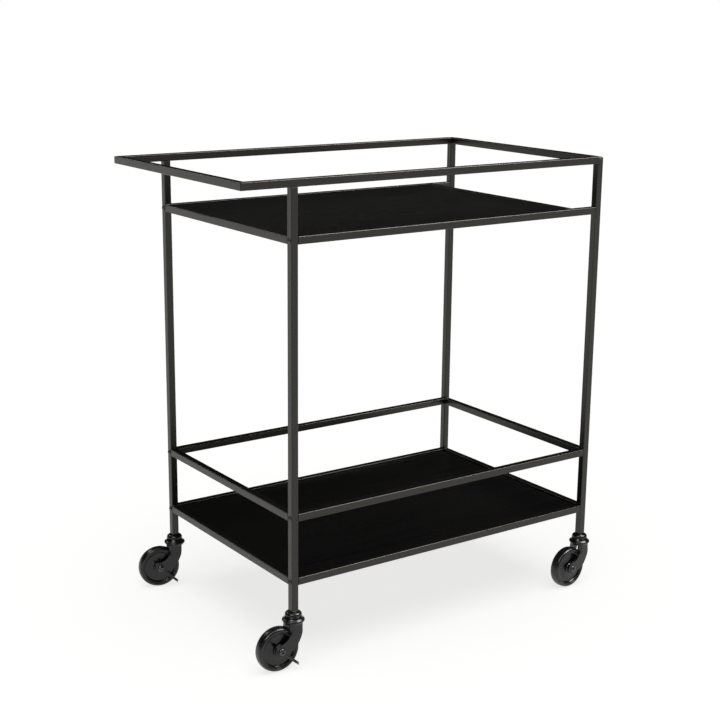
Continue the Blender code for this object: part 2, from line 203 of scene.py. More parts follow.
class Paint:
    """A Principled material that is built node by node."""

    def __init__(self, name, colour, roughness, **constants):
        self.material = bpy.data.materials.new(name)
        self.material.use_nodes = True
        self.tree = self.material.node_tree
        self.shader = self.tree.nodes["Principled BSDF"]
        self.shader.inputs["Base Color"].default_value = (*colour, 1.0)
        self.shader.inputs["Roughness"].default_value = roughness
        for socket, value in constants.items():
            self.shader.inputs[socket.replace("_", " ")].default_value = value
        self.place = self.tree.nodes.new("ShaderNodeTexCoord").outputs["Object"]
        self.height = None

    def node(self, kind, inputs=None, **settings):
        """Adds a node; inputs are numbers, colours or other nodes' outputs."""
        made = self.tree.nodes.new(kind)
        for setting, value in settings.items():
            setattr(made, setting, value)
        for socket, value in (inputs or {}).items():
            if isinstance(value, bpy.types.NodeSocket):
                self.tree.links.new(value, made.inputs[socket])
            else:
                made.inputs[socket].default_value = value
        return made

    def stretched(self, scale):
        """The object's coordinates, scaled by axis."""
        made = self.node("ShaderNodeMapping", {"Vector": self.place, "Scale": scale})
        return made.outputs["Vector"]

    def noise(self, scale, detail=3.0, roughness=0.5, distortion=0.0, vector=None):
        """Noise between 0 and 1."""
        made = self.node("ShaderNodeTexNoise", {
            "Vector": vector or self.place, "Scale": scale, "Detail": detail,
            "Roughness": roughness, "Distortion": distortion})
        return made.outputs["Fac"]

    def spread(self, value, low, high, to_low, to_high):
        """Maps a value's range onto another, and stops at its ends."""
        made = self.node("ShaderNodeMapRange", {
            "Value": value, "From Min": low, "From Max": high, "To Min": to_low, "To Max": to_high})
        return made.outputs["Result"]

    def mixed(self, share, dark, light):
        """A colour between two, each a colour or an output."""
        made = self.node("ShaderNodeMix", data_type="RGBA")
        self.tree.links.new(share, made.inputs["Factor"])
        for number, value in ((MIX_DARK, dark), (MIX_LIGHT, light)):
            socket = made.inputs[number]
            if isinstance(value, bpy.types.NodeSocket):
                self.tree.links.new(value, socket)
            else:
                socket.default_value = (*value, 1.0)
        return made.outputs[MIX_RESULT]

    def colour(self, output):
        self.tree.links.new(output, self.shader.inputs["Base Color"])

    def roughness(self, output):
        self.tree.links.new(output, self.shader.inputs["Roughness"])

    def bump(self, height, strength, distance):
        """Adds a layer of relief on the ones before it."""
        inputs = {"Height": height, "Strength": strength, "Distance": distance}
        if self.height is not None:
            inputs["Normal"] = self.height
        self.height = self.node("ShaderNodeBump", inputs).outputs["Normal"]
        self.tree.links.new(self.height, self.shader.inputs["Normal"])


def powder_coat():
    """Satin black powder coat: fine grain, soft orange peel and uneven gloss."""
    paint = Paint("powder_coat", (0.0040, 0.0038, 0.0032), 0.25, IOR=1.5,
                  Specular_Tint=(1.0, 0.97, 0.89, 1.0))
    cloud = paint.noise(9.0, 4.0, 0.6)
    paint.colour(paint.mixed(cloud, (0.0032, 0.0030, 0.0025), (0.0054, 0.0051, 0.0043)))
    paint.roughness(paint.spread(paint.noise(160.0, 5.0, 0.65), 0.3, 0.7, 0.27, 0.36))
    orange_peel = paint.noise(420.0, 2.0)
    paint.bump(orange_peel, 0.05, 0.4 * MM)
    grain = paint.noise(2600.0, 2.0)
    paint.bump(grain, 0.05, 0.08 * MM)
    return paint.material


def stained_wood():
    """Black-stained open-grain board, with the grain along X."""
    paint = Paint("stained_wood", (0.006, 0.006, 0.0055), 0.45, IOR=1.45)
    flow = paint.stretched((0.55, 6.0, 6.0))
    figure = paint.node("ShaderNodeTexWave", {
        "Vector": flow, "Scale": 3.2, "Distortion": 7.0, "Detail": 3.0, "Detail Scale": 0.9,
        "Detail Roughness": 0.55}, bands_direction="Y").outputs["Fac"]
    streak = paint.noise(34.0, 8.0, 0.62, 0.4, paint.stretched((0.12, 3.0, 3.0)))
    pores = paint.noise(120.0, 3.0, 0.5, 0.0, paint.stretched((0.5, 9.0, 9.0)))
    pore = paint.spread(pores, 0.52, 0.66, 0.0, 1.0)
    ground = paint.mixed(streak, (0.0006, 0.0006, 0.0006), (0.0032, 0.0030, 0.0028))
    band = paint.spread(figure, 0.25, 0.95, 0.0, 0.45)
    banded = paint.mixed(band, ground, (0.0058, 0.0055, 0.0050))
    paint.colour(paint.mixed(pore, banded, (0.0006, 0.0006, 0.0006)))
    paint.roughness(paint.spread(streak, 0.3, 0.7, 0.26, 0.38))
    paint.bump(streak, 0.10, 0.5 * MM)
    hollow = paint.spread(pores, 0.50, 0.68, 1.0, 0.0)
    paint.bump(hollow, 0.22, 0.12 * MM)
    return paint.material


def gloss_steel():
    """Pressed steel with glossy black enamel, slightly wavy from the press."""
    paint = Paint("gloss_steel", (0.004, 0.004, 0.0042), 0.24, IOR=1.42, Coat_Weight=0.12,
                  Coat_Roughness=0.12)
    paint.roughness(paint.spread(paint.noise(90.0, 4.0), 0.3, 0.7, 0.20, 0.32))
    paint.colour(paint.mixed(paint.noise(30.0), (0.0030, 0.0030, 0.0032), (0.0056, 0.0055, 0.0056)))
    waves = paint.noise(70.0, 2.0)
    paint.bump(waves, 0.16, 0.5 * MM)
    grain = paint.noise(900.0, 2.0)
    paint.bump(grain, 0.05, 0.1 * MM)
    return paint.material


def wheel_plastic():
    """Moulded wheel centre: glossy nylon with faint flow marks."""
    paint = Paint("wheel_plastic", (0.006, 0.006, 0.0063), 0.22, IOR=1.44)
    ripples = paint.noise(55.0, 3.0, 0.5, 0.8)
    paint.colour(paint.mixed(ripples, (0.0042, 0.0042, 0.0045), (0.0080, 0.0078, 0.0078)))
    paint.roughness(paint.spread(ripples, 0.3, 0.7, 0.17, 0.28))
    paint.bump(ripples, 0.10, 0.5 * MM)
    return paint.material


def tyre_rubber():
    """Smooth tread: soft sheen, fine scuffs and a little dust."""
    paint = Paint("tyre_rubber", (0.007, 0.007, 0.007), 0.28, IOR=1.5)
    scuffs = paint.noise(140.0, 6.0, 0.7)
    dust = paint.spread(scuffs, 0.55, 0.75, 0.0, 1.0)
    paint.colour(paint.mixed(dust, (0.0060, 0.0060, 0.0062), (0.0140, 0.0136, 0.0130)))
    paint.roughness(paint.spread(scuffs, 0.35, 0.7, 0.22, 0.42))
    paint.bump(scuffs, 0.06, 0.3 * MM)
    return paint.material


def blackened_steel():
    """Black-oxide screws: dark metal with an oily sheen."""
    paint = Paint("blackened_steel", (0.070, 0.070, 0.070), 0.25, Metallic=0.9)
    grain = paint.noise(700.0, 4.0, 0.6)
    paint.colour(paint.mixed(grain, (0.050, 0.050, 0.051), (0.105, 0.103, 0.100)))
    paint.roughness(paint.spread(grain, 0.3, 0.7, 0.16, 0.32))
    paint.bump(grain, 0.12, 0.06 * MM)
    return paint.material


def pedal_highlight_steel():
    """Steel coloured light in streaks: a painted highlight for the lit tip of the brake pedal."""
    paint = Paint("pedal_highlight_steel", (0.32, 0.31, 0.30), 0.35, Metallic=0.9)
    streak_noise = paint.noise(260.0, 5.0, 0.6, 0.3, paint.stretched((1.0, 0.3, 1.0)))
    painted_highlight_share = paint.spread(streak_noise, 0.38, 0.62, 0.0, 1.0)
    # The light colour is a painted highlight, mixed in streaks by the noise.
    paint.colour(paint.mixed(painted_highlight_share, (0.120, 0.117, 0.114), (0.520, 0.505, 0.480)))
    paint.roughness(paint.spread(streak_noise, 0.3, 0.7, 0.26, 0.44))
    paint.bump(streak_noise, 0.10, 0.06 * MM)
    return paint.material


def plug_plastic():
    """Moulded tube plug, with a fine sparked texture."""
    paint = Paint("plug_plastic", (0.007, 0.007, 0.007), 0.42, IOR=1.46)
    spark = paint.noise(1800.0, 3.0)
    paint.colour(paint.mixed(spark, (0.0055, 0.0055, 0.0055), (0.0095, 0.0094, 0.0090)))
    paint.roughness(paint.spread(spark, 0.3, 0.7, 0.36, 0.50))
    paint.bump(spark, 0.25, 0.06 * MM)
    return paint.material


FLOOR_GLOW = 0.78                # how much of the floor's light comes from below


def pale_floor():
    """Matt white floor of a light table, partly lit from below."""
    paint = Paint("pale_floor", (0.86, 0.86, 0.855), 0.9, Specular_IOR_Level=0.0,
                  Emission_Color=(1.0, 1.0, 0.99, 1.0), Emission_Strength=FLOOR_GLOW)
    paint.colour(paint.mixed(paint.noise(1.3, 3.0), (0.855, 0.855, 0.85), (0.87, 0.87, 0.865)))
    return paint.material


COAT = powder_coat()
WOOD = stained_wood()
ENAMEL = gloss_steel()
NYLON = wheel_plastic()
RUBBER = tyre_rubber()
OXIDE = blackened_steel()
# Steel painted light: a painted highlight for the brake pedal.
PEDAL_HIGHLIGHT = pedal_highlight_steel()
PLUG = plug_plastic()


# ---- square tubes -------------------------------------------------------------------------------
MITRES = {                       # how far a tube's two ends slope, along it per step across it
    "top_rail_front": (1.0, 0.0),
    "top_rail_back": (-1.0, 0.0),
    "handle_bar": (1.0, -1.0),
}
TUBES = (
    ["post_" + corner for corner in CORNERS]
    + ["%s_rail_%s" % (level, side)
       for level in LEVELS for side in ("front", "back", "left", "right")]
    + ["top_rail_front", "top_rail_back", "top_rail_right", "handle_bar"]
)


def tube_axis(low, high):
    """The axis along which a box is longest, and the other two."""
    size = high - low
    axis = max(range(3), key=lambda index: size[index])
    return axis, [other for other in range(3) if other != axis]


def build_tube(node):
    """A hollow tube with round arrises and broken edges at its cut ends."""
    low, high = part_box(node)
    axis, (first, second) = tube_axis(low, high)
    size = high[second] - low[second]
    slopes = MITRES.get(node, (0.0, 0.0))
    ends = [low[axis] + abs(slopes[0]) * size / 2, high[axis] - abs(slopes[1]) * size / 2]
    whole = rounded_square(size, ARRIS)
    broken = rounded_square(size - 2 * END_BREAK, ARRIS - END_BREAK)
    bore = rounded_square(size - 2 * WALL, ARRIS / 2)
    rings = []
    for section, end, inset in ((broken, 0, 0.0), (whole, 0, END_BREAK), (whole, 1, -END_BREAK),
                                (broken, 1, 0.0), (bore, 1, 0.0), (bore, 0, 0.0)):
        ring = []
        for along_first, along_second in section:
            point = Vector((0.0, 0.0, 0.0))
            point[first] = (low[first] + high[first]) / 2 + along_first
            point[second] = (low[second] + high[second]) / 2 + along_second
            point[axis] = ends[end] + inset + slopes[end] * along_first
            ring.append(point)
        rings.append(ring)
    mesh = mesh_from(loft(rings, closed=True), node + "_tube")
    flatten(add_piece(node + "_tube", mesh, COAT, "frame", nodes=[node]))


# ---- welds --------------------------------------------------------------------------------------
def add_bead(bm, start, end, up, out):
    """A rippled fillet weld from start to end, in the corner between two faces' normals."""
    start, end, up, out = Vector(start), Vector(end), Vector(up), Vector(out)
    length = (end - start).length
    steps = max(8, int(length / WELD_STEP))
    rings = []
    for step in range(steps + 1):
        share = step / steps
        taper = min(1.0, 6 * share, 6 * (1 - share)) ** 0.5
        ripple = 1 + 0.10 * math.sin(share * length / WELD_RIPPLE * math.tau)
        leg = WELD * (0.25 + 0.75 * taper) * ripple
        corner = start.lerp(end, share) - (up + out) * WELD_SINK
        ring = [corner]
        for spoke in range(6):
            angle = spoke / 5 * math.pi / 2
            ring.append(corner + leg * (math.cos(angle) * up + math.sin(angle) * out))
        rings.append(ring)
    add_loft(bm, rings, closed=False)


def cross_rail_beads(bm, node, tops):
    """Beads where a rail along Y meets the posts: over and under each end."""
    low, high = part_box(node)
    left, right = low.x + WELD, high.x - WELD
    for y, inward in ((low.y, 1.0), (high.y, -1.0)):
        for z, up in ((high.z, 1.0), (low.z, -1.0)):
            if up < 0 or tops:
                add_bead(bm, (left, y, z), (right, y, z), (0, 0, up), (0, inward, 0))


def corner_beads(bm):
    """Beads inside the handle's corners, and where the top loop sits on and meets the posts."""
    bar_low, bar_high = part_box("handle_bar")
    for corner, inward in (("front", 1.0), ("back", -1.0)):
        rail_low, rail_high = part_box("top_rail_" + corner)
        inner_y = rail_high.y if inward > 0 else rail_low.y
        add_bead(bm, (bar_high.x, inner_y, bar_low.z + WELD),
                 (bar_high.x, inner_y, bar_high.z - WELD), (1, 0, 0), (0, inward, 0))
        low_y, high_y = rail_low.y + WELD, rail_high.y - WELD
        post_low, post_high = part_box("post_%s_left" % corner)
        for x, out in ((post_low.x, -1.0), (post_high.x, 1.0)):
            add_bead(bm, (x, low_y, rail_low.z), (x, high_y, rail_low.z),
                     (0, 0, -1), (out, 0, 0))
        add_bead(bm, (rail_high.x, low_y, rail_low.z), (rail_high.x, high_y, rail_low.z),
                 (0, 0, -1), (-1, 0, 0))


def build_welds():
    """All the frame's welds, under the same coat as the tubes."""
    bm = bmesh.new()
    for node in ("lower_rail_left", "guard_rail_left", "upper_rail_left", "lower_rail_right",
                 "guard_rail_right"):
        cross_rail_beads(bm, node, tops=True)
    cross_rail_beads(bm, "top_rail_right", tops=False)
    low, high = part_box("upper_rail_right")
    for y, inward in ((low.y, 1.0), (high.y, -1.0)):
        add_bead(bm, (high.x, y, low.z + WELD), (high.x, y, high.z - WELD),
                 (1, 0, 0), (0, inward, 0))
    corner_beads(bm)
    add_piece("frame_welds", mesh_from(bm, "frame_welds", 60.0), COAT, "frame")


# ---- shelves ------------------------------------------------------------------------------------
def build_board(node):
    """A board with eased edges."""
    low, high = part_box(node)
    bm = bmesh.new()
    bmesh.ops.create_cube(bm, size=1.0)
    bmesh.ops.scale(bm, vec=high - low, verts=bm.verts)
    bmesh.ops.translate(bm, vec=(low + high) / 2, verts=bm.verts)
    board = add_piece(node + "_board", mesh_from(bm, node + "_board"), WOOD, "frame",
                      nodes=[node])
    soften(board, PANEL_EDGE, 3)


def pan_screw_rings(middle, radius, down):
    """Rings of a domed screw head with a hexagon socket, its face looking along down * Z."""
    profile = [(radius, 0.0), (radius, 0.35 * radius), (0.86 * radius, 0.55 * radius),
               (0.62 * radius, 0.68 * radius), (0.42 * radius, 0.68 * radius),
               (0.40 * radius, 0.30 * radius)]
    rings = turned_rings(profile, 24, hexagon=(4, 5))
    return [[(middle[0] + x, middle[1] + y, middle[2] + down * z) for x, y, z in ring]
            for ring in rings]


def build_shelf_tabs(level):
    """Steel tabs on the rails' inner faces that carry the board, with their screws."""
    width, reach, thick, gap = 22 * MM, 15 * MM, 1.5 * MM, 0.05 * MM
    half = width / 2
    shoulder = reach * 0.6
    cut = reach * 0.4
    outline = [(-half, 0.0), (half, 0.0), (half, shoulder), (half - cut, reach),
               (cut - half, reach), (-half, shoulder)]
    low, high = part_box(level + "_panel")
    under = low.z - gap
    span_x = high.x - low.x
    spots = [(low.x + share * span_x, y, side) for share in TAB_SHARES
             for y, side in ((low.y, 1.0), (high.y, -1.0))]
    tabs = bmesh.new()
    screws = bmesh.new()
    for x, y, side in spots:
        rings = []
        for z in (under, under - thick):
            rings.append([(x + a, y + side * b, z) for a, b in outline])
        add_loft(tabs, rings, closed=False)
        screw_at = (x, y + side * reach * 0.55, under - thick)
        add_loft(screws, pan_screw_rings(screw_at, SHELF_SCREW_RADIUS, -1.0), closed=False)
    tab = add_piece(level + "_shelf_tabs", mesh_from(tabs, "tabs"), COAT, "frame")
    soften(tab, 0.25 * MM)
    add_piece(level + "_shelf_screws", mesh_from(screws, "screws"), OXIDE, "frame")


# ---- fasteners and plugs ------------------------------------------------------------------------
BOLT_TWIST = 4.0                 # how far a bolt's socket is turned, in radians per metre of height


def button_head(radius, high, socket):
    """Rings of a button head with a hexagon socket, standing on z = 0."""
    profile = [(0.3 * radius, 0.0), (radius, 0.0), (radius, 0.28 * high),
               (0.93 * radius, 0.50 * high), (0.80 * radius, 0.74 * high),
               (0.62 * radius, 0.92 * high), (0.5 * radius, high),
               (socket * 1.06, high), (socket, 0.95 * high), (socket, 0.30 * high),
               (0.2 * socket, 0.22 * high)]
    return turned_rings(profile, 36, hexagon=(7, 8, 9))


def build_bolts():
    """Button-head socket screws on the posts' end faces."""
    mesh = mesh_from(loft(button_head(*BUTTON_HEAD)), "button_screw", 40.0)
    for level in LEVELS:
        for corner in CORNERS:
            node = "bolt_%s_%s" % (level, corner)
            low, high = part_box(node)
            post_low, post_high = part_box("post_" + corner)
            outward = -1.0 if corner.endswith("left") else 1.0
            foot = post_low.x if outward < 0 else post_high.x
            at = Vector((foot, (low.y + high.y) / 2, (low.z + high.z) / 2))
            twist = BOLT_TWIST * low.z
            turn = (Matrix.Rotation(outward * math.pi / 2, 4, "Y")
                    @ Matrix.Rotation(twist, 4, "Z"))
            add_piece(node + "_screw", mesh, OXIDE, "frame",
                      Matrix.Translation(at) @ turn, [node])


def build_plugs():
    """Round-edged plugs in the open tops of the right posts."""
    for corner in CORNERS[2:]:
        node = "post_plug_" + corner
        low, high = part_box(node)
        post_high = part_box("post_" + corner)[1]
        size = high.x - low.x
        head = high.z - post_high.z
        soft = 0.86 * head
        profile = [(0.1 * MM, post_high.z + 0.02 * MM), (0.0, post_high.z + 0.25 * MM)]
        for step in range(7):
            angle = step / 6 * math.pi / 2
            profile.append((soft * (1 - math.cos(angle)),
                            high.z - soft + soft * math.sin(angle)))
        rings = []
        for inset, z in profile:
            section = rounded_square(size - 2 * inset, ARRIS + 0.5 * inset)
            rings.append([(low.x + size / 2 + x, low.y + size / 2 + y, z) for x, y in section])
        mesh = mesh_from(loft(rings), node)
        flatten(add_piece(node + "_head", mesh, PLUG, "frame", nodes=[node]))


# ---- casters ------------------------------------------------------------------------------------
swivel_joint = JOINTS["caster_swivel_front_left"]
spin_joint = JOINTS["wheel_spin_front_left"]
TRAIL = (Vector(swivel_joint["pos_m"][:2]) - Vector(spin_joint["pos_m"][:2])).length
AXLE_HEIGHT = spin_joint["pos_m"][2]
POST_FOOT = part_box("post_front_left")[0].z
CROWN_FOOT = 74.0 * MM
CROWN_TOP = 85.5 * MM
WHEEL_RADIUS = AXLE_HEIGHT
TREAD = 6.2 * MM                 # how thick the tyre is
SLIP = 0.3 * MM                  # air between pieces that turn past each other
ARM_INNER = 12 * MM              # from the wheel's middle to an arm's inner face
ARM_THICK = 2 * MM
ARM_BEND = (56 * MM, 14 * MM)    # where an arm starts to follow the neck, and how long it takes
NECK_RADIUS = 15.8 * MM
EYE_RADIUS = 10.4 * MM           # round end of an arm, about the axle
LEVER_FACE = ARM_INNER + ARM_THICK + SLIP        # from the wheel's middle to the lever
LEVER_THICK = 1.2 * MM
PEDAL_TIP = (28.6, -25.8)        # from the axle, in millimetres


def caster_matrices(corner):
    """The matrices of a caster's swivel axis on the floor, and of its axle."""
    swivel = JOINTS["caster_swivel_" + corner]["pos_m"]
    spin = JOINTS["wheel_spin_" + corner]
    angle = math.atan2(-spin["axis"][0], spin["axis"][1])
    turn = Matrix.Rotation(angle, 4, "Z")
    return (Matrix.Translation((swivel[0], swivel[1], 0.0)) @ turn,
            Matrix.Translation(spin["pos_m"]) @ turn)


# Points in the tables below are in millimetres; those of turned shapes are radius and height.
def cap_mesh():
    """Dust cap: a low dome with a rolled foot."""
    foot = CROWN_TOP + SLIP
    points = [(12.6, 0.0), (13.3, 0.5), (13.4, 1.8), (12.9, 3.6), (11.2, 5.4), (8.2, 6.6),
              (5.0, 7.0), (2.0, 7.2)]
    line = smooth_line([(radius * MM, foot + height * MM) for radius, height in points], 3)
    return mesh_from(loft(turned_rings(line, 64)), "dust_cap", 50.0)


def collar_mesh():
    """Chamfered square foot of the plug under the post."""
    top = POST_FOOT - SLIP
    rings = []
    for size, drop in ((8.6, 3.6), (9.8, 2.6), (11.6, 1.2), (12.0, 0.7), (12.0, 0.15),
                       (11.7, 0.0)):
        rings.append([(x, y, top - drop * MM) for x, y in rounded_square(size * MM, ARRIS)])
    return mesh_from(loft(rings), "post_collar")


def pin_mesh():
    """Swivel pin with its rivet head under the crown."""
    foot = CROWN_FOOT - SLIP
    head = ((1.0, 2.0), (4.6, 1.9), (6.1, 1.3), (6.5, 0.6), (6.5, 0.0), (4.0, 0.0))
    profile = [(radius * MM, foot - drop * MM) for radius, drop in head]
    profile.append((4.0 * MM, CROWN_TOP + 0.5 * MM))
    return mesh_from(loft(turned_rings(profile, 40)), "swivel_pin", 40.0)


def crown_mesh():
    """Fork crown: a pressed cup with a rolled bead."""
    line = smooth_line([(15.2, 0.0), (15.7, 0.9), (16.1, 1.9), (17.2, 2.6), (17.9, 3.5),
                        (18.0, 4.4), (17.7, 5.5), (16.8, 6.5), (15.4, 7.4), (14.2, 8.9),
                        (13.4, 10.3), (12.6, 11.3), (11.4, 11.5)], 3)
    inner = [(4.4, 11.5), (4.4, 9.6), (11.0, 9.4), (13.2, 6.2), (13.6, 0.0)]
    profile = [(radius * MM, CROWN_FOOT + height * MM) for radius, height in line + inner]
    return mesh_from(loft(turned_rings(profile, 72), closed=True), "fork_crown", 50.0)


def arm_edges():
    """The arm's front and back edges, as lines from the neck down to the far side of the eye."""
    axle = (-TRAIL, AXLE_HEIGHT)
    top = CROWN_FOOT / MM + 2.5
    front = ((9.4, top), (9.3, 69), (8.6, 61), (5.9, 52), (0.2, 41.5), (-6.9, 33.4))
    back = ((-12.4, top), (-12.5, 69), (-13.4, 60.5), (-16.4, 53.8), (-22.6, 49.3), (-28.0, 47.0))
    edges = []
    for points, start, end in ((front, -44, -168), (back, 106, 190)):
        edge = [(x * MM, z * MM) for x, z in points] + arc(axle, EYE_RADIUS, start, end, 6)
        edges.append(smooth_line(edge, 4))
    return edges


def arm_reach(x, z):
    """How far out the arm's inner face lies: round the neck near the crown, flat by the wheel."""
    flat = ARM_INNER
    around = math.sqrt(max(NECK_RADIUS ** 2 - x * x, flat ** 2 * 0.5)) - ARM_THICK
    bend_foot, bend_high = ARM_BEND
    share = min(1.0, max(0.0, (z - bend_foot) / bend_high))
    share = share * share * (3 - 2 * share)
    return flat + (min(around, flat) - flat) * share


def arm_mesh(side):
    """One pressed arm; side is -1 or 1."""
    front, back = arm_edges()
    columns = 10
    bm = bmesh.new()
    skins = []
    for thick in (0.0, ARM_THICK):
        rows = []
        for (front_x, front_z), (back_x, back_z) in zip(front, back):
            row = []
            for column in range(columns + 1):
                share = column / columns
                x = front_x + (back_x - front_x) * share
                z = front_z + (back_z - front_z) * share
                row.append(bm.verts.new((x, side * (arm_reach(x, z) + thick), z)))
            rows.append(row)
        skins.append(rows)
    for rows in skins:
        for row, following in zip(rows, rows[1:]):
            for index in range(columns):
                bm.faces.new((row[index], row[index + 1], following[index + 1], following[index]))
    inner, outer = skins
    for low_row, high_row in ((inner[0], outer[0]), (inner[-1], outer[-1])):
        for index in range(columns):
            bm.faces.new((low_row[index], low_row[index + 1], high_row[index + 1], high_row[index]))
    for column in (0, columns):
        for index in range(len(inner) - 1):
            bm.faces.new((inner[index][column], inner[index + 1][column], outer[index + 1][column],
                          outer[index][column]))
    return mesh_from(bm, "fork_arm")


def boss_mesh(side):
    """Raised ring pressed into the arm round the axle."""
    face = ARM_INNER + ARM_THICK
    profile = [(3.4, -0.4), (3.4, 0.10), (6.2, 0.25), (7.4, 0.2), (8.4, -0.05), (8.8, -0.4)]
    rings = turned_rings([(radius * MM, height * MM) for radius, height in profile], 48)
    bm = loft(rings, closed=True)
    bmesh.ops.rotate(bm, verts=bm.verts, matrix=Matrix.Rotation(-side * math.pi / 2, 3, "X"))
    bmesh.ops.translate(bm, verts=bm.verts, vec=(0.0, side * face, 0.0))
    return mesh_from(bm, "arm_boss", 50.0)


def wheel_mesh():
    """Wheel centre: hub with a raised ring, dished disc and rim."""
    rim = WHEEL_RADIUS / MM - TREAD / MM - 0.3
    half = [(3.3, 8.4), (6.4, 8.4), (7.4, 8.1), (7.9, 7.4), (8.1, 6.7), (8.6, 6.1), (9.6, 5.7),
            (10.8, 5.9), (11.6, 5.9), (12.2, 5.6), (rim - 4.9, 5.3), (rim - 3.8, 5.4),
            (rim - 3.0, 5.9), (rim - 2.4, 6.8), (rim - 1.8, 7.5), (rim - 0.8, 7.9), (rim, 7.7)]
    near = [(radius * MM, -y * MM) for radius, y in half]
    far = [(radius, -y) for radius, y in reversed(near)]
    bm = turn_to_y(loft(turned_rings(near + far, 96), closed=True))
    return mesh_from(bm, "wheel_centre", 40.0)


def tyre_mesh():
    """Tyre with full round shoulders and a fine moulding line."""
    radius = WHEEL_RADIUS / MM
    inner = radius - TREAD / MM
    half = smooth_line([(inner, 7.6), (inner + 0.3, 8.4), (inner + 1.2, 8.75), (inner + 2.4, 8.7),
                        (radius - 2.4, 8.1), (radius - 1.2, 6.8), (radius - 0.5, 4.9),
                        (radius - 0.1, 2.7), (radius, 1.0)], 3)
    half.append((radius, 0.35))
    near = [(r * MM, -y * MM) for r, y in half]
    far = [(r, -y) for r, y in reversed(near)]
    line_radius = (radius - 0.10) * MM
    line = [(line_radius, -0.12 * MM), (line_radius, 0.12 * MM)]
    bm = turn_to_y(loft(turned_rings(near + line + far, 128), closed=True))
    return mesh_from(bm, "tyre", 60.0)


def axle_mesh(near):
    """Axle bolt: button head at the near end, closed nut at the far end."""
    far = ARM_INNER + ARM_THICK + SLIP
    bm = bmesh.new()
    head = [[(x, y, -z - near) for x, y, z in ring] for ring in button_head(*AXLE_HEAD)]
    add_loft(bm, head, closed=False)
    profile = [(2.0, 0.0), (4.7, 0.0), (4.8, 0.3), (4.8, 1.7), (4.4, 2.2), (3.4, 2.5),
               (2.0, 2.8), (0.6, 2.8)]
    nut = turned_rings([(radius * MM, z * MM) for radius, z in profile], 36, hexagon=(1, 2, 3))
    add_loft(bm, [[(x, y, z + far) for x, y, z in ring] for ring in nut], closed=False)
    shank = turned_rings([(3.0 * MM, -near - 0.4 * MM), (3.0 * MM, far + 0.4 * MM)], 32)
    add_loft(bm, shank, closed=False)
    return mesh_from(turn_to_y(bm), "axle_bolt", 40.0)


def lever_outline():
    """Brake lever seen from the side, round the axle: horn up and back, pedal down and forward."""
    lobes = (
        ((0.0, 0.0), 7.0, (195, 290)),
        (PEDAL_TIP, 1.9, (-132, 48)),
        ((0.0, 0.0), 7.0, (-14, 70)),
        ((-7.1, 9.1), 2.9, (60, 200)),
    )
    points = []
    for middle, radius, (start, end) in lobes:
        points += arc(middle, radius, start, end, 9)
    return [(x * MM, z * MM) for x, z in points]


def pedal_axes():
    """Unit vectors along the pedal, from the axle, and across it."""
    along = Vector((PEDAL_TIP[0], 0.0, PEDAL_TIP[1])).normalized()
    return along, Vector((along.z, 0.0, -along.x))


def lever_mesh():
    """Stamped plate with an eye round the axle and a pressed rib along it."""
    near = LEVER_FACE + LEVER_THICK
    bm = bmesh.new()
    rings = [[(x, -y, z) for x, z in lever_outline()] for y in (near, LEVER_FACE)]
    add_loft(bm, rings, closed=False)
    along, across = pedal_axes()
    rib = []
    for reach, half, high in ((8.4, 0.2, 0.0), (10.0, 1.2, 0.5), (20.0, 1.0, 0.6),
                              (29.0, 0.7, 0.5), (31.0, 0.2, 0.0)):
        middle = along * reach * MM - Vector((0.0, near, 0.0))
        rib.append([middle + across * side * MM - Vector((0.0, out * MM, 0.0))
                    for side, out in ((-half, -0.3), (-half, 0.2 * high), (-0.5 * half, high),
                                      (0.5 * half, high), (half, 0.2 * high), (half, -0.3))])
    add_loft(bm, rib, closed=False)
    return mesh_from(bm, "brake_lever")


def pedal_mesh():
    """The lever's tip: a strip turned out from the plate, coloured light as a painted highlight."""
    along, across = pedal_axes()
    foot = along * 32.3 * MM + across * 0.6 * MM - Vector((0.0, LEVER_FACE, 0.0))
    length, low, high = 8.5, 0.2, 1.2
    rings = []
    for out, shrink in ((0.2, 0.0), (3.8, 0.0), (4.8, 0.5), (5.2, 1.4)):
        outline = ((shrink, low), (length - shrink, low), (length - shrink, high), (shrink, high))
        rings.append([foot + along * a * MM + across * b * MM - Vector((0.0, out * MM, 0.0))
                      for a, b in outline])
    return mesh_from(loft(rings), "brake_pedal")


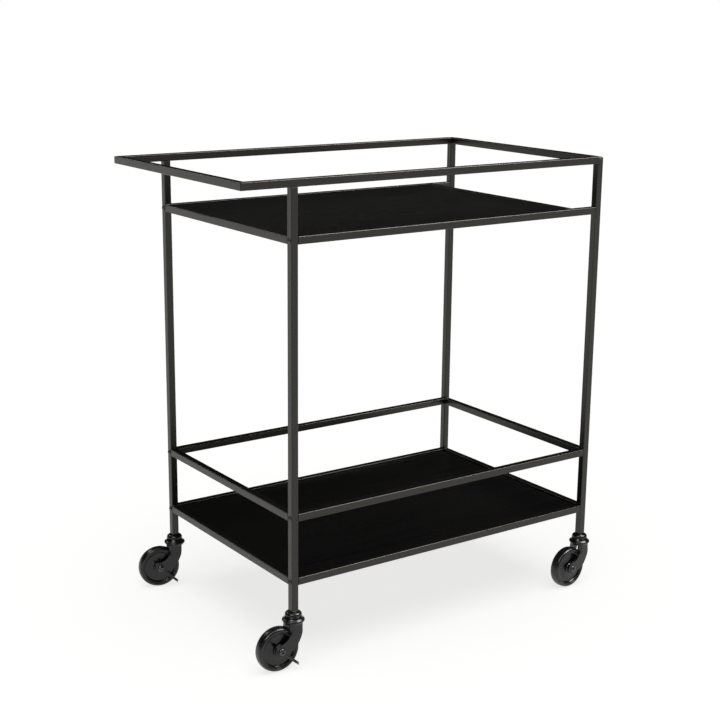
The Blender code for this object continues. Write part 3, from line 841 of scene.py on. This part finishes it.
def build_casters():
    """Four casters on their own axes."""
    cap, collar, pin, crown = cap_mesh(), collar_mesh(), pin_mesh(), crown_mesh()
    arms = {side: arm_mesh(side) for side in (-1, 1)}
    bosses = {side: boss_mesh(side) for side in (-1, 1)}
    wheel, tyre = wheel_mesh(), tyre_mesh()
    lever, pedal = lever_mesh(), pedal_mesh()
    axles = {False: axle_mesh(LEVER_FACE), True: axle_mesh(LEVER_FACE + LEVER_THICK + SLIP)}
    for corner in CORNERS:
        swivel, axle = caster_matrices(corner)
        body = "swivel_" + corner
        wheel_body = "wheel_" + corner
        brake_body = "brake_" + corner
        braked = "brake_lever_" + corner in BODY_OF
        upright = Matrix.Translation((swivel.translation.x, swivel.translation.y, 0.0))
        add_piece("dust_cap_" + corner, cap, ENAMEL, "frame", upright,
                  ["caster_stem_" + corner])
        flatten(add_piece("post_collar_" + corner, collar, COAT, "frame", upright))
        add_piece("swivel_pin_" + corner, pin, ENAMEL, "frame", upright)
        add_piece("fork_crown_" + corner, crown, ENAMEL, body, swivel,
                  ["caster_fork_" + corner])
        for side, word in ((-1, "near"), (1, "far")):
            arm = add_piece("fork_arm_%s_%s" % (word, corner), arms[side], ENAMEL,
                            body, swivel)
            soften(arm, 0.5 * MM, 3, 50.0)
            if not (braked and side < 0):
                add_piece("arm_boss_%s_%s" % (word, corner), bosses[side], ENAMEL,
                          body, axle)
        add_piece("axle_bolt_" + corner, axles[braked], OXIDE, body, axle,
                  ["caster_axle_" + corner])
        add_piece("wheel_centre_" + corner, wheel, NYLON, wheel_body, axle,
                  ["caster_wheel_" + corner])
        add_piece("tyre_" + corner, tyre, RUBBER, wheel_body, axle,
                  ["caster_tyre_" + corner])
        if braked:
            plate = add_piece("brake_plate_" + corner, lever, ENAMEL, brake_body,
                              axle, ["brake_lever_" + corner])
            soften(plate, 0.3 * MM)
            # The pedal's light steel colour is a painted highlight.
            strip = add_piece("brake_pedal_" + corner, pedal, PEDAL_HIGHLIGHT, brake_body,
                              axle)
            soften(strip, 0.25 * MM)


# ---- studio -------------------------------------------------------------------------------------
CAMERA_AT = (-1.358, -1.930, 1.010)
CAMERA_YAW = 35.0                # degrees from +Y towards +X
CAMERA_DIP = 14.15
CAMERA_ROLL = 0.58
CAMERA_LENS = 71.2
CAMERA_SENSOR = 36.0
FAR = 200.0                      # how far the camera sees
FLOOR_HALF = 60.0
ROOM_GLOW = 0.017                # what the cart reflects where there is no lamp
LIGHT_TARGET = (0.0, 0.0, 0.35)
SUN_STRENGTH = 0.82
SUN_DEGREES = 60.0               # how wide the sun looks
STRIPS = (                       # name, place, watts and the side of its square
    ("front_right_strip", (1.35, -1.05, 2.45), 110.0, 1.5),
    ("back_left_strip", (-0.8, 2.1, 1.9), 7.0, 0.6),
    ("front_left_strip", (-1.7, -1.1, 2.3), 28.0, 0.9),
)


def build_camera():
    """The camera stands at the front left, a little above the top loop."""
    camera = bpy.data.objects.new("camera", bpy.data.cameras.new("camera"))
    bpy.context.scene.collection.objects.link(camera)
    camera.data.lens = CAMERA_LENS
    camera.data.sensor_width = CAMERA_SENSOR
    camera.data.clip_end = FAR
    turn = (Matrix.Rotation(-math.radians(CAMERA_YAW), 4, "Z")
            @ Matrix.Rotation(math.radians(90.0 - CAMERA_DIP), 4, "X")
            @ Matrix.Rotation(math.radians(CAMERA_ROLL), 4, "Z"))
    camera.matrix_world = Matrix.Translation(CAMERA_AT) @ turn
    bpy.context.scene.camera = camera


def build_floor():
    """A wide pale floor."""
    bm = bmesh.new()
    bmesh.ops.create_grid(bm, x_segments=8, y_segments=8, size=FLOOR_HALF)
    mesh = mesh_from(bm, "floor")
    mesh.materials.append(pale_floor())
    floor = bpy.data.objects.new("floor", mesh)
    bpy.context.scene.collection.objects.link(floor)


def build_world():
    """A white backdrop, and a dim room for what the cart reflects above the floor's edge."""
    world = bpy.data.worlds.new("studio")
    bpy.context.scene.world = world
    world.use_nodes = True
    tree = world.node_tree
    tree.nodes.clear()
    seen = tree.nodes.new("ShaderNodeBackground")
    seen.inputs["Color"].default_value = (1.0, 1.0, 1.0, 1.0)
    seen.inputs["Strength"].default_value = 1.0
    room = tree.nodes.new("ShaderNodeBackground")
    room.inputs["Color"].default_value = (1.0, 0.985, 0.96, 1.0)
    room.inputs["Strength"].default_value = ROOM_GLOW
    path = tree.nodes.new("ShaderNodeLightPath")
    mix = tree.nodes.new("ShaderNodeMixShader")
    out = tree.nodes.new("ShaderNodeOutputWorld")
    tree.links.new(path.outputs["Is Camera Ray"], mix.inputs[0])
    tree.links.new(room.outputs[0], mix.inputs[1])
    tree.links.new(seen.outputs[0], mix.inputs[2])
    tree.links.new(mix.outputs[0], out.inputs["Surface"])


def add_light(name, kind, at, energy, **settings):
    """A light that looks at the cart's middle."""
    light = bpy.data.objects.new(name, bpy.data.lights.new(name, kind))
    bpy.context.scene.collection.objects.link(light)
    light.location = at
    light.rotation_euler = (Vector(LIGHT_TARGET) - Vector(at)).to_track_quat("-Z", "Y").to_euler()
    light.data.energy = energy
    for setting, value in settings.items():
        setattr(light.data, setting, value)


def build_lights():
    """A soft sun overhead, and strips that only show as highlights."""
    add_light("overhead", "SUN", (-0.4, -0.8, 5.0), SUN_STRENGTH,
              angle=math.radians(SUN_DEGREES))
    for name, at, energy, size in STRIPS:
        add_light(name, "AREA", at, energy, shape="RECTANGLE", size=size, size_y=size)
        bpy.data.objects[name].visible_diffuse = False
    bpy.context.scene.view_settings.view_transform = "Standard"


for tube_node in TUBES:
    build_tube(tube_node)
build_welds()
for shelf in ("upper", "lower"):
    build_board(shelf + "_panel")
    build_shelf_tabs(shelf)
build_bolts()
build_plugs()
build_casters()
build_floor()
build_world()
build_lights()
build_camera()
